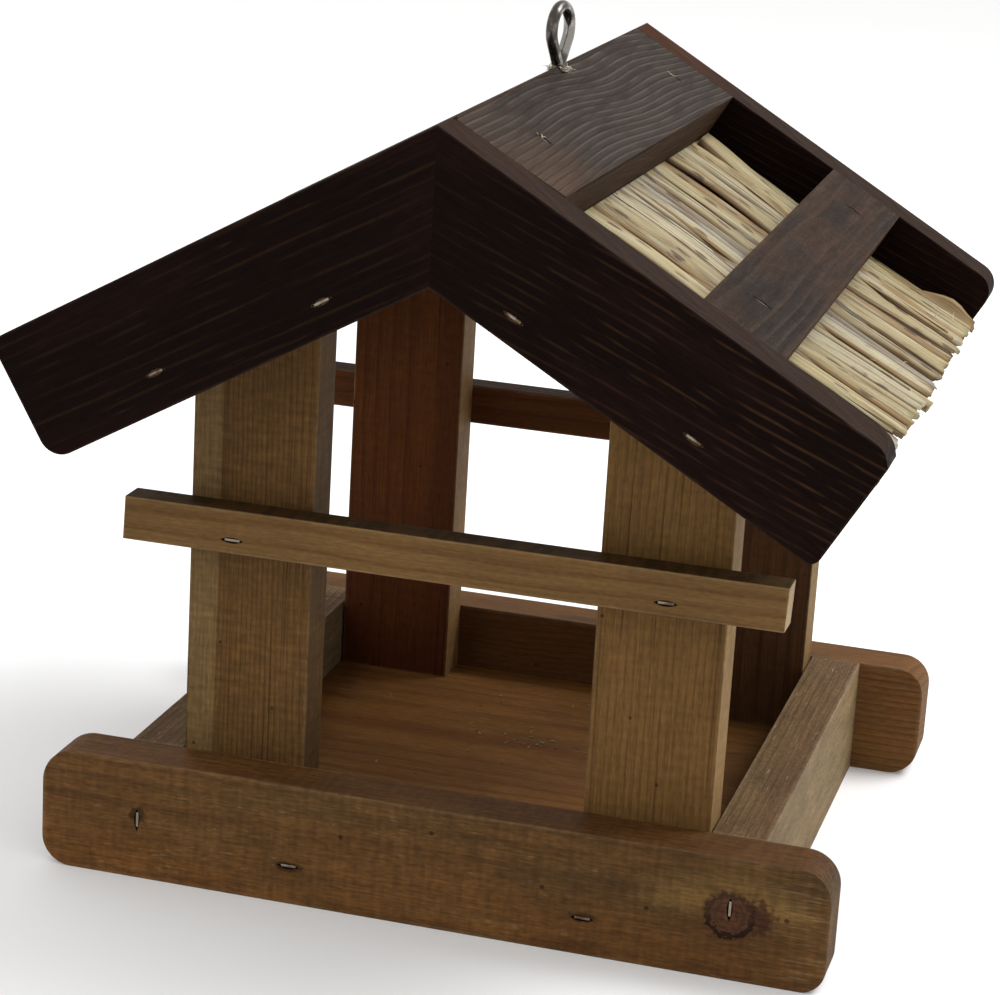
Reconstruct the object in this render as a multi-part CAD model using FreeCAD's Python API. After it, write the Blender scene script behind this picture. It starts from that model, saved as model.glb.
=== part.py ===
"""Hanging bird feeder: a battened tray on four posts under a pitched roof with reed panels.

Millimetres. +Z is up, -Y is the front, and the origin is at the middle of the tray's underside.
Places on the roof are given down the slope from the ridge (down), along the ridge (y) and
square to the slope below its top surface (deep).
"""

import FreeCAD, Part
import math
import os

Vector = FreeCAD.Vector

# Tray: a floor board inside four rails
rail_length = 288.0
rail_height = 45.0
rail_thickness = 19.5
tray_depth = 236.0
side_rail_span = 234.8
floor_thickness = 18.8
front_rail_radii = (13.0, 11.0, 9.0, 12.0)
back_rail_radii = (11.0, 10.0, 12.0, 11.0)

# Posts that stand in the tray's corners, and the bars across them
post_width = 45.5
post_thickness = 17.5
post_gap = 0.7
bar_length = 237.0
bar_height = 15.9
bar_thickness = 11.3
bar_underside = 124.4
bar_saw_slant = 0.6

# Roof
apex_height = 288.2
pitch = 30.0
roof_depth = 292.0
barge_width = 45.7
barge_thickness = 18.0
barge_lengths = {"front_right": 178.3, "front_left": 176.8, "back_right": 177.3, "back_left": 177.3}
barge_top_radii = {"front_right": 9.0, "front_left": 5.0, "back_right": 8.5, "back_left": 8.5}
barge_bottom_radii = {"front_right": 4.0, "front_left": 8.0, "back_right": 10.0, "back_left": 10.0}
barge_nose_run = 4.2
barge_nose_turn = 48.0
slat_thickness = 18.6
ridge_slat_width = 46.0
ridge_slat_skew = 1.7
ridge_slat_end_gap = 1.5
ridge_slat_end_square = 20.0
ridge_seam_offset = 1.2
mid_slat_start = 98.3
mid_slat_width = 32.4
mid_slat_skew = 1.1
reed_depth = 9.4
reed_bulge = 2.6
reed_length = 177.0
reed_end_gap = 0.2
deck_thickness = 18.0
deck_length = 174.0

# Screw eye on the ridge
eye_y = 4.0
eye_wire = 4.3
eye_ring_radius = 8.1
eye_ring_height = 301.7
eye_neck_height = 287.6
eye_turn = -8.4
eye_thread_length = 30.0
eye_thread_pitch = 1.8
eye_thread_depth = 0.5
eye_thread_flank = 0.3
eye_point_length = 5.0
eye_tip_height = 240.0
eye_clearance = 0.05
eye_mouth_depth = 2.0
eye_mouth_slope = 0.5
reed_eye_room = 1.0

# Staples, and the torn slots that they sit in
staple_crown = 5.8
staple_wire_width = 1.2
staple_wire_thick = 0.8
staple_sink = 0.25
rail_staple_spots = ((-107.3, 22.3), (109.5, 26.2))
floor_staple_spots = ((-49.5, 14.3), (58.3, 13.6))
bar_staple_spots = ((-77.7, 129.3), (77.6, 128.9))
right_barge_staple_spots = ((54.3, 37.1), (123.6, 34.5))
left_barge_staple_spots = ((62.2, 35.2), (127.0, 33.3))
ridge_slat_staple_spots = ((23.0, -86.0), (27.5, 97.0))
mid_slat_staple_spots = ((114.0, -91.5), (114.0, 90.5))
short_leg = 25.0
long_leg = 38.0
slat_leg = 40.0
deck_staple_share = (0.15, 0.45)
foot_staple_share = (0.3, 0.7)
slot_length = 8.6
slat_slot_length = 6.6
slot_width = 2.2
slot_depth = 1.4

# Eased edge of every planed board
arris = 0.4

rail_inner_y = tray_depth / 2 - rail_thickness
side_inner_x = side_rail_span / 2 - rail_thickness
post_outer_x = side_inner_x - post_gap
barge_inner_y = roof_depth / 2 - barge_thickness
deck_top = slat_thickness + reed_depth
deck_underside = deck_top + deck_thickness
post_inner_y = rail_inner_y - post_thickness
post_middle_y = rail_inner_y - post_thickness / 2
slope_cos = math.cos(math.radians(pitch))
slope_sin = math.sin(math.radians(pitch))
slope_tan = slope_sin / slope_cos
along_x = Vector(1, 0, 0)
along_y = Vector(0, 1, 0)
along_z = Vector(0, 0, 1)
big = 1000.0
side_names = {-1: "left", 1: "right"}
end_names = {-1: "front", 1: "back"}


def slope_point(side, down, y, deep):
    """Point on the right (side 1) or left (side -1) slope."""
    x = down * slope_cos - deep * slope_sin
    z = apex_height - down * slope_sin - deep * slope_cos
    return Vector(side * x, y, z)


def slope_fall(side):
    return Vector(side * slope_cos, 0, -slope_sin)


def slope_outward(side):
    return Vector(side * slope_sin, 0, slope_cos)


def rounded_outline(corners):
    """Closed wire through (point, radius) corners."""
    rounds = []
    for i, (point, radius) in enumerate(corners):
        before = (corners[i - 1][0] - point).normalize()
        after = (corners[(i + 1) % len(corners)][0] - point).normalize()
        if radius == 0:
            rounds.append((point, point, None))
            continue
        half = before.getAngle(after) / 2
        middle_way = (before + after).normalize()
        start = point + before * (radius / math.tan(half))
        end = point + after * (radius / math.tan(half))
        middle = point + middle_way * (radius / math.sin(half) - radius)
        rounds.append((start, end, Part.Arc(start, middle, end)))
    edges = []
    for i, (start, end, arc) in enumerate(rounds):
        if arc:
            edges.append(arc.toShape())
        edges.append(Part.makeLine(end, rounds[(i + 1) % len(rounds)][0]))
    return Part.Wire(edges)


def plate(corners, thickness):
    """Solid with a rounded outline in an XZ plane, as thick as given towards +Y."""
    return Part.Face(rounded_outline(corners)).extrude(along_y * thickness)


def eased(solid, is_sharp=None):
    """The solid with its edges lightly rounded, apart from those that is_sharp picks."""
    edges = [edge for edge in solid.Edges if not (is_sharp and is_sharp(edge))]
    return solid.makeFillet(arris, edges)


def box(low, high):
    size = high - low
    return Part.makeBox(size.x, size.y, size.z, low)


def board(low, high):
    return eased(box(low, high))


def at_mitre(edge):
    return all(abs(vertex.X) < 0.01 for vertex in edge.Vertexes)


def on_slope(solid, side):
    """Moves a solid drawn with X down the slope and Z outward onto one slope of the roof."""
    placed = solid.copy()
    placed.rotate(Vector(0, 0, 0), along_y, pitch)
    placed.translate(along_z * apex_height)
    if side < 0:
        placed = placed.mirror(Vector(0, 0, 0), along_x)
    return placed


# Staples

def staple(leg):
    """Crown along X, legs down -Z, below a surface at z = 0."""
    top = -staple_sink
    wide = staple_wire_width / 2
    reach = staple_crown / 2
    crown = box(Vector(-reach, -wide, top - staple_wire_thick), Vector(reach, wide, top))
    left = box(Vector(-reach, -wide, -leg), Vector(staple_wire_thick - reach, wide, top))
    right = box(Vector(reach - staple_wire_thick, -wide, -leg), Vector(reach, wide, top))
    whole = crown.fuse([left, right]).removeSplitter()
    shoulders = [
        edge for edge in whole.Edges
        if all(abs(abs(v.X) - reach) < 0.01 and abs(v.Z - top) < 0.01 for v in edge.Vertexes)
    ]
    return whole.makeFillet(staple_wire_thick / 2, shoulders)


def torn_slot(length):
    """Lens-shaped slot along X, cut below a surface at z = 0."""
    ends = [Vector(-length / 2, 0, -slot_depth), Vector(length / 2, 0, -slot_depth)]
    sides = [
        Part.Arc(ends[0], Vector(0, way * slot_width / 2, -slot_depth), ends[1]).toShape()
        for way in (-1, 1)
    ]
    return Part.Face(Part.Wire(sides)).extrude(along_z * (slot_depth * 2))


def placed_at(shape, place):
    """Moves a staple or its slot to a (position, crown direction, outward direction) place."""
    position, crown, outward = place
    turn = FreeCAD.Rotation(crown, outward.cross(crown), outward, "ZXY")
    moved = shape.copy()
    moved.Placement = FreeCAD.Placement(position, turn)
    return moved


def with_slots(solid, places, length=slot_length):
    return solid.cut([placed_at(torn_slot(length), place) for place in places])


def staples(places, leg):
    return Part.makeCompound([placed_at(staple(leg), place) for place in places])


def rail_staple_places(side):
    """Staples through the front (side -1) or back (side 1) rail into side rails and floor."""
    face = side * tray_depth / 2
    outward = along_y * side
    places = [(Vector(x, face, z), along_z, outward) for x, z in rail_staple_spots]
    return places + [(Vector(x, face, z), along_x, outward) for x, z in floor_staple_spots]


def bar_staple_places(side):
    """One staple through the cross bar into each post."""
    face = side * (rail_inner_y + bar_thickness)
    return [(Vector(x, face, z), along_x, along_y * side) for x, z in bar_staple_spots]


def barge_staple_places(side, end):
    """Two staples through a barge board into the edge of the roof deck."""
    spots = right_barge_staple_spots if side > 0 else left_barge_staple_spots
    return [
        (slope_point(side, down, end * roof_depth / 2, deep), slope_fall(side), along_y * end)
        for down, deep in spots
    ]


def slat_staple_places(side, spots):
    """Staples down through a slat at (down, y) spots."""
    return [
        (slope_point(side, down, y, 0), slope_fall(side), slope_outward(side))
        for down, y in spots
    ]


def deck_staple_places(side):
    """Two staples through the deck into the top of each post."""
    places = []
    for across in deck_staple_share:
        x = post_outer_x - post_width * across
        down = (x + deck_top * slope_sin) / slope_cos
        for end in (-1, 1):
            point = slope_point(side, down, end * post_middle_y, deck_top)
            places.append((point, along_y, slope_outward(side)))
    return places


def foot_staple_places():
    """Two staples up through the floor into the foot of each post."""
    places = []
    for across in foot_staple_share:
        x = post_outer_x - post_width * across
        for side in (-1, 1):
            for end in (-1, 1):
                places.append((Vector(side * x, end * post_middle_y, 0), along_x, -along_z))
    return places


# Tray

def end_rail(side):
    """Front (side -1) or back (side 1) rail with its rounded corners, as seen from the front."""
    left, right = -rail_length / 2, rail_length / 2
    near = -tray_depth / 2 if side < 0 else rail_inner_y
    spots = ((left, rail_height), (left, 0), (right, 0), (right, rail_height))
    radii = front_rail_radii if side < 0 else back_rail_radii
    corners = [(Vector(x, near, z), radius) for (x, z), radius in zip(spots, radii)]
    return with_slots(eased(plate(corners, rail_thickness)), rail_staple_places(side))


def side_rail(side):
    near, far = sorted((side * side_inner_x, side * side_rail_span / 2))
    return board(Vector(near, -rail_inner_y, 0), Vector(far, rail_inner_y, rail_height))


def floor_board():
    low = Vector(-side_inner_x, -rail_inner_y, 0)
    high = Vector(side_inner_x, rail_inner_y, floor_thickness)
    return with_slots(board(low, high), foot_staple_places())


# Posts and cross bars

def deck_underside_height(x):
    return apex_height - x * slope_tan - deck_underside / slope_cos


def post(side, end):
    """Post with its top cut to the slope, so that the roof deck rests on it."""
    outer = post_outer_x
    inner = post_outer_x - post_width
    spots = (
        (outer, floor_thickness),
        (outer, deck_underside_height(outer)),
        (inner, deck_underside_height(inner)),
        (inner, floor_thickness),
    )
    near = post_inner_y if end > 0 else -rail_inner_y
    corners = [(Vector(side * x, near, z), 0) for x, z in spots]
    return eased(plate(corners, post_thickness))


def cross_bar(side):
    """Bar across the outer faces of two posts, its ends sawn a little out of square."""
    half = bar_length / 2
    low, high = bar_underside, bar_underside + bar_height
    near = rail_inner_y if side > 0 else -rail_inner_y - bar_thickness
    spots = ((-half, low), (half, low), (half + bar_saw_slant, high), (-half + bar_saw_slant, high))
    corners = [(Vector(x, near, z), 0) for x, z in spots]
    return with_slots(eased(plate(corners, bar_thickness)), bar_staple_places(side))


# Roof

def barge_board(side, end):
    """Gable board, mitred at the ridge and rounded at the eaves.

    The front right one is rounded only part of the way round its upper corner, which leaves
    a nose where the round meets the sawn end.
    """
    near = barge_inner_y if end > 0 else -roof_depth / 2
    name = end_names[end] + "_" + side_names[side]
    length = barge_lengths[name]
    upper = [(slope_point(side, length, near, 0), barge_top_radii[name])]
    if name == "front_right":
        nose_drop = barge_nose_run * math.tan(math.radians(barge_nose_turn))
        upper = [
            (slope_point(side, length - barge_nose_run, near, 0), barge_top_radii[name]),
            (slope_point(side, length, near, nose_drop), 0),
        ]
    corners = [
        (Vector(0, near, apex_height), 0),
        *upper,
        (slope_point(side, length, near, barge_width), barge_bottom_radii[name]),
        (Vector(0, near, apex_height - barge_width / slope_cos), 0),
    ]
    solid = eased(plate(corners, barge_thickness), at_mitre)
    return with_slots(solid, barge_staple_places(side, end))


def ridge_seam(side):
    """Everything beyond the seam between the two ridge slats, as seen from one of them.

    The seam runs from ridge_seam_offset at the front end to the middle plane at the back end.
    """
    front = Vector(ridge_seam_offset, -barge_inner_y, 0)
    back = Vector(0, barge_inner_y, 0)
    beyond_front = front + (front - back)
    beyond_back = back + (back - front)
    across = Vector(-side * big, 0, 0)
    spots = [beyond_front, beyond_back, beyond_back + across, beyond_front + across]
    return Part.Face(Part.makePolygon(spots + spots[:1])).extrude(along_z * big)


def beyond_ridge(side):
    """Everything on the other side of the ridge's middle plane."""
    low, high = sorted((0, -side * big))
    return box(Vector(low, -big, 0), Vector(high, big, big))


def eye_bore(radius):
    """Hole for the screw eye, with the crushed mouth that its neck leaves in the ridge."""
    hole = Part.makeCylinder(radius, big, Vector(0, eye_y, eye_tip_height - 1))
    foot = Vector(0, eye_y, apex_height - eye_mouth_depth)
    depth = eye_mouth_depth * 2
    mouth = Part.makeCone(radius, radius + depth * eye_mouth_slope, depth, foot)
    return hole.fuse(mouth)


def slat(outline, side):
    """Board on the roof from an outline of (down, y) points."""
    points = [Vector(down, y, -slat_thickness) for down, y in outline]
    flat = Part.Face(Part.makePolygon(points + points[:1])).extrude(along_z * slat_thickness)
    return on_slope(eased(flat), side)


def ridge_slat(side):
    """Top board of one slope. The right one lies a little askew, with a gap at its front end."""
    skew = ridge_slat_skew if side > 0 else 0.0
    gap = ridge_slat_end_gap if side > 0 else 0.0
    front_edge, back_edge = ridge_slat_width - skew, ridge_slat_width + skew
    outline = [
        (-slat_thickness, -barge_inner_y),
        (ridge_slat_end_square, -barge_inner_y),
        (front_edge, gap - barge_inner_y),
        (back_edge, barge_inner_y),
        (-slat_thickness, barge_inner_y),
    ]
    solid = slat(outline, side).cut([ridge_seam(side), eye_bore(eye_wire / 2 + eye_clearance)])
    return with_slots(solid, slat_staple_places(side, ridge_slat_staple_spots), slat_slot_length)


def mid_slat(side):
    """Board half way down one slope. The right one lies a little askew."""
    skew = mid_slat_skew if side > 0 else 0.0
    outline = [
        (mid_slat_start + skew, -barge_inner_y),
        (mid_slat_start + mid_slat_width + skew, -barge_inner_y),
        (mid_slat_start + mid_slat_width - skew, barge_inner_y),
        (mid_slat_start - skew, barge_inner_y),
    ]
    return with_slots(slat(outline, side), slat_staple_places(side, mid_slat_staple_spots))


def reed_layer(side):
    """Reeds held under the slats, bulging a little where the slats leave them open."""
    half = barge_inner_y - reed_end_gap
    layer = box(Vector(0, -half, -deck_top), Vector(reed_length, half, -slat_thickness))
    window_starts = (ridge_slat_width + ridge_slat_skew, mid_slat_start + mid_slat_width + mid_slat_skew)
    window_ends = (mid_slat_start - mid_slat_skew, reed_length)
    for start, end in zip(window_starts, window_ends):
        low = Vector(start, -half, -slat_thickness)
        layer = layer.fuse(box(low, Vector(end, half, reed_bulge - slat_thickness)))
    room = eye_bore(eye_wire / 2 + reed_eye_room)
    return on_slope(layer.removeSplitter(), side).cut([beyond_ridge(side), room])


def roof_deck(side):
    """Board under the reeds, mitred at the ridge, resting on the posts."""
    solid = box(Vector(0, -barge_inner_y, -deck_underside), Vector(deck_length, barge_inner_y, -deck_top))
    bore = eye_bore(eye_wire / 2 + eye_clearance)
    placed = on_slope(solid, side).cut([beyond_ridge(side), bore])
    return with_slots(placed, deck_staple_places(side))


# Screw eye

def eye_shank():
    """Shank with a ringed thread and a point, turned about its own axis."""
    radius = eye_wire / 2
    root = radius - eye_thread_depth
    thread_top = eye_tip_height + eye_point_length + eye_thread_length
    outline = [
        Vector(0, 0, eye_neck_height),
        Vector(radius, 0, eye_neck_height),
        Vector(radius, 0, thread_top),
    ]
    for turn in range(int(eye_thread_length / eye_thread_pitch)):
        crest = thread_top - turn * eye_thread_pitch
        flank = eye_thread_pitch * eye_thread_flank
        outline.append(Vector(root, 0, crest - flank))
        outline.append(Vector(root, 0, crest - 2 * flank))
        outline.append(Vector(radius, 0, crest - 3 * flank))
        outline.append(Vector(radius, 0, crest - eye_thread_pitch))
    outline.append(Vector(0, 0, eye_tip_height))
    face = Part.Face(Part.makePolygon(outline + outline[:1]))
    return face.revolve(Vector(0, 0, 0), along_z, 360)


def screw_eye():
    """Ring bent from round wire, its two sides meeting in a neck above the shank."""
    radius = eye_wire / 2
    centre = Vector(0, 0, eye_ring_height)
    neck = Vector(0, 0, eye_neck_height)
    drop = eye_ring_height - eye_neck_height
    lean = math.asin(eye_ring_radius / drop)
    leg = math.sqrt(drop ** 2 - eye_ring_radius ** 2)
    sweep = 180 + 2 * math.degrees(lean)
    ring = Part.makeTorus(eye_ring_radius, radius, Vector(0, 0, 0), along_z, 0, 360, sweep)
    ring.rotate(Vector(0, 0, 0), along_z, -math.degrees(lean))
    ring.Placement = FreeCAD.Placement(
        centre, FreeCAD.Rotation(along_y, along_z, along_x, "ZXY")
    ).multiply(ring.Placement)
    pieces = [Part.makeSphere(radius, neck), eye_shank()]
    for way in (-1, 1):
        rise = Vector(0, way * math.sin(lean), math.cos(lean))
        pieces.append(Part.makeCylinder(radius, leg, neck, rise))
    whole = ring.fuse(pieces).removeSplitter()
    whole.rotate(Vector(0, 0, 0), along_z, eye_turn)
    whole.translate(along_y * eye_y)
    return whole


# The pieces, each under its own name

pieces = {"floor_board": floor_board(), "screw_eye": screw_eye()}
for end, end_name in end_names.items():
    pieces[end_name + "_rail"] = end_rail(end)
    pieces[end_name + "_cross_bar"] = cross_bar(end)
    for side, side_name in side_names.items():
        pieces[end_name + "_" + side_name + "_post"] = post(side, end)
        pieces[end_name + "_" + side_name + "_barge_board"] = barge_board(side, end)
for side, side_name in side_names.items():
    pieces[side_name + "_side_rail"] = side_rail(side)
    pieces[side_name + "_ridge_slat"] = ridge_slat(side)
    pieces[side_name + "_mid_slat"] = mid_slat(side)
    pieces[side_name + "_reed_layer"] = reed_layer(side)
    pieces[side_name + "_roof_deck"] = roof_deck(side)

ways = (-1, 1)
in_rails = [place for end in ways for place in rail_staple_places(end)]
in_bars = [place for end in ways for place in bar_staple_places(end)]
in_barges = [place for end in ways for side in ways for place in barge_staple_places(side, end)]
in_ridge_slats = [place for side in ways for place in slat_staple_places(side, ridge_slat_staple_spots)]
in_mid_slats = [place for side in ways for place in slat_staple_places(side, mid_slat_staple_spots)]
in_decks = [place for side in ways for place in deck_staple_places(side)]
pieces["rail_staples"] = staples(in_rails, long_leg)
pieces["bar_staples"] = staples(in_bars, short_leg)
pieces["barge_staples"] = staples(in_barges, long_leg)
pieces["ridge_slat_staples"] = staples(in_ridge_slats, slat_leg)
pieces["mid_slat_staples"] = staples(in_mid_slats, slat_leg)
pieces["deck_staples"] = staples(in_decks, long_leg)
pieces["foot_staples"] = staples(foot_staple_places(), long_leg)

os.makedirs("parts", exist_ok=True)
for name, shape in pieces.items():
    shape.exportStep("parts/" + name + ".step")
    print(name, shape.isValid(), len(shape.Solids), round(shape.Volume, 1))
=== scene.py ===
import math
import random

import bmesh
import bpy
from mathutils import Matrix, Vector, noise


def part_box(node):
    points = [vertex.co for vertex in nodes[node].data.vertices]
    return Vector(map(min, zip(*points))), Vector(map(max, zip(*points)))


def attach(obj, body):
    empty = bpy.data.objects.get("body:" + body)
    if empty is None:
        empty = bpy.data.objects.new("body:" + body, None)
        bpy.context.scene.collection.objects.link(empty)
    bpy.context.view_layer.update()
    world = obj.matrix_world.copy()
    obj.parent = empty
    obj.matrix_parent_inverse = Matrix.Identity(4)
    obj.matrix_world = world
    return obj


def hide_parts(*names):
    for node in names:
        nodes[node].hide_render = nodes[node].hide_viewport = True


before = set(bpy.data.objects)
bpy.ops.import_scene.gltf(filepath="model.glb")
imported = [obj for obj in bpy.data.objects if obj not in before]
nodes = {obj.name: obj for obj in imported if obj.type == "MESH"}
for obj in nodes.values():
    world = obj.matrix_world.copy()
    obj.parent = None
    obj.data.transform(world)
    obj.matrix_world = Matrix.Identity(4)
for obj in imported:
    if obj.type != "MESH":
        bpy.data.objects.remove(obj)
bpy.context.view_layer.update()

MM = 0.001
PAINTED_DIMMING = 0.83  # painted shade: every board's colour is dimmed evenly to offset the bright studio light
X, Y, Z = Vector((1, 0, 0)), Vector((0, 1, 0)), Vector((0, 0, 1))

# ---- Camera, lights and floor -------------------------------------------------------------

VIEW_AZIMUTH, VIEW_ELEVATION, VIEW_ROLL = 14.90, 16.51, 3.40
VIEW_DISTANCE = 1.1207
VIEW_TARGET = Vector((-0.0112, 0.0, 0.12435))
LENS = 106.8
SENSOR = 36.0


def make_camera():
    azimuth, elevation, roll = map(math.radians, (VIEW_AZIMUTH, VIEW_ELEVATION, VIEW_ROLL))
    back = Vector((
        math.sin(azimuth) * math.cos(elevation),
        -math.cos(azimuth) * math.cos(elevation),
        math.sin(elevation),
    ))
    right = Z.cross(back).normalized()
    up = back.cross(right)
    turned_right = right * math.cos(roll) + up * math.sin(roll)
    turned_up = up * math.cos(roll) - right * math.sin(roll)
    data = bpy.data.cameras.new("camera")
    data.lens = LENS
    data.sensor_width = SENSOR
    camera = bpy.data.objects.new("camera", data)
    bpy.context.scene.collection.objects.link(camera)
    turn = Matrix((turned_right, turned_up, back)).transposed().to_4x4()
    camera.matrix_world = Matrix.Translation(VIEW_TARGET + back * VIEW_DISTANCE) @ turn
    bpy.context.scene.camera = camera


def area_light(name, place, aim, size, power, colour=(1, 1, 1)):
    data = bpy.data.lights.new(name, "AREA")
    data.energy = power
    data.size = size
    data.color = colour
    light = bpy.data.objects.new(name, data)
    light.location = place
    light.rotation_euler = (Vector(aim) - Vector(place)).to_track_quat("-Z", "Y").to_euler()
    bpy.context.scene.collection.objects.link(light)


def make_light():
    world = bpy.data.worlds.new("studio")
    world.use_nodes = True
    background = world.node_tree.nodes["Background"]
    background.inputs["Color"].default_value = (0.99, 0.975, 0.95, 1)
    background.inputs["Strength"].default_value = 0.98
    bpy.context.scene.world = world
    area_light("key", (0.9, 0.55, 1.5), (0, 0, 0.15), 0.9, 23.0)
    area_light("fill", (-0.9, -1.6, 1.1), (0, 0, 0.15), 1.4, 3.0)
    view = bpy.context.scene.view_settings
    view.view_transform = "Standard"


make_camera()
make_light()

# ---- Shader graphs ------------------------------------------------------------------------


class Graph:
    """A material's node tree, built from short calls that return sockets."""

    def __init__(self, name):
        self.material = bpy.data.materials.new(name)
        self.material.use_nodes = True
        self.tree = self.material.node_tree
        self.tree.nodes.clear()

    def node(self, kind, out=0, inputs=None, **settings):
        made = self.tree.nodes.new("ShaderNode" + kind)
        for key, value in settings.items():
            setattr(made, key, value)
        for key, value in (inputs or {}).items():
            if isinstance(value, bpy.types.NodeSocket):
                self.tree.links.new(value, made.inputs[key])
            else:
                made.inputs[key].default_value = value
        return made.outputs[out]

    def math(self, operation, *values, clamp=False):
        inputs = dict(enumerate(values))
        return self.node("Math", inputs=inputs, operation=operation, use_clamp=clamp)

    def add(self, a, b):
        return self.math("ADD", a, b)

    def mul(self, a, b):
        return self.math("MULTIPLY", a, b)

    def vector(self, x, y, z):
        return self.node("CombineXYZ", inputs={0: x, 1: y, 2: z})

    def stretch(self, vector, x, y, z):
        return self.node("VectorMath", operation="MULTIPLY", inputs={0: vector, 1: (x, y, z)})

    def noise(self, vector, detail=2.0, rough=0.5, distort=0.0):
        return self.node("TexNoise", inputs={
            "Vector": vector, "Scale": 1.0, "Detail": detail,
            "Roughness": rough, "Distortion": distort})

    def spots(self, vector, radius, dimensions="3D"):
        """1 inside small round spots, one to a cell of the vector's unit size."""
        distance = self.node("TexVoronoi", voronoi_dimensions=dimensions,
                             inputs={"Vector": vector, "Scale": 1.0})
        return self.step(distance, radius, 0.6 * radius)

    def step(self, value, low, high, start=0.0, end=1.0):
        """Smooth step from start to end as value goes from low to high."""
        return self.node("MapRange", interpolation_type="SMOOTHSTEP", inputs={
            "Value": value, "From Min": low, "From Max": high, "To Min": start, "To Max": end})

    def mix(self, share, a, b):
        made = self.tree.nodes.new("ShaderNodeMix")
        made.data_type = "RGBA"
        for key, value in ((0, share), (6, a), (7, b)):
            if isinstance(value, bpy.types.NodeSocket):
                self.tree.links.new(value, made.inputs[key])
            else:
                made.inputs[key].default_value = value if key == 0 else (*value, 1)
        return made.outputs[2]

    def scale(self, colour, factor):
        vector = (*colour,) if isinstance(colour, tuple) else colour
        return self.node("VectorMath", operation="SCALE", inputs={0: vector, 3: factor})

    def ramp(self, value, stops):
        made = self.tree.nodes.new("ShaderNodeValToRGB")
        self.tree.links.new(value, made.inputs[0])
        elements = made.color_ramp.elements
        while len(elements) < len(stops):
            elements.new(0.5)
        for element, (position, shade) in zip(elements, stops):
            element.position = position
            element.color = (shade, shade, shade, 1)
        return made.outputs[0]

    def along(self, origin, axes):
        """The surface point's distances from origin along each axis, in millimetres."""
        place = self.node("TexCoord", out=3)
        offset = self.node("VectorMath", operation="SUBTRACT", inputs={0: place, 1: origin})
        return [
            self.node("VectorMath", out=1, operation="DOT_PRODUCT", inputs={0: offset, 1: axis / MM})
            for axis in axes
        ]

    def facing(self, axis):
        """How much the surface faces along axis, either way."""
        normal = self.node("NewGeometry", out=1)
        dot = self.node("VectorMath", out=1, operation="DOT_PRODUCT", inputs={0: normal, 1: axis})
        return self.math("ABSOLUTE", dot)

    def surface(self, colour, roughness, height=None, depth=0.3, metallic=0.0, specular=0.5):
        """Ends the graph in a Principled surface. depth is the bump's height in millimetres."""
        inputs = {
            "Base Color": (*colour, 1) if isinstance(colour, tuple) else colour,
            "Roughness": roughness, "Metallic": metallic, "Specular IOR Level": specular,
        }
        if height is not None:
            inputs["Normal"] = self.node("Bump", inputs={
                "Strength": 1.0, "Distance": depth * MM, "Height": height})
        shader = self.node("BsdfPrincipled", inputs=inputs)
        end = self.tree.nodes.new("ShaderNodeOutputMaterial")
        self.tree.links.new(shader, end.inputs["Surface"])
        return self.material


def put_on(node, material):
    """Gives a CAD node its material."""
    target = nodes[node]
    target.data.materials.clear()
    target.data.materials.append(material)


# ---- Wood ---------------------------------------------------------------------------------


def extent(name, axes):
    """A node's middle, in metres, and its half sizes along the axes, in millimetres."""
    middle = Vector()
    half = []
    for axis in axes:
        spans = [vertex.co.dot(axis) for vertex in nodes[name].data.vertices]
        middle += axis * (max(spans) + min(spans)) / 2
        half.append((max(spans) - min(spans)) / 2 / MM)
    return middle, half


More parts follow.
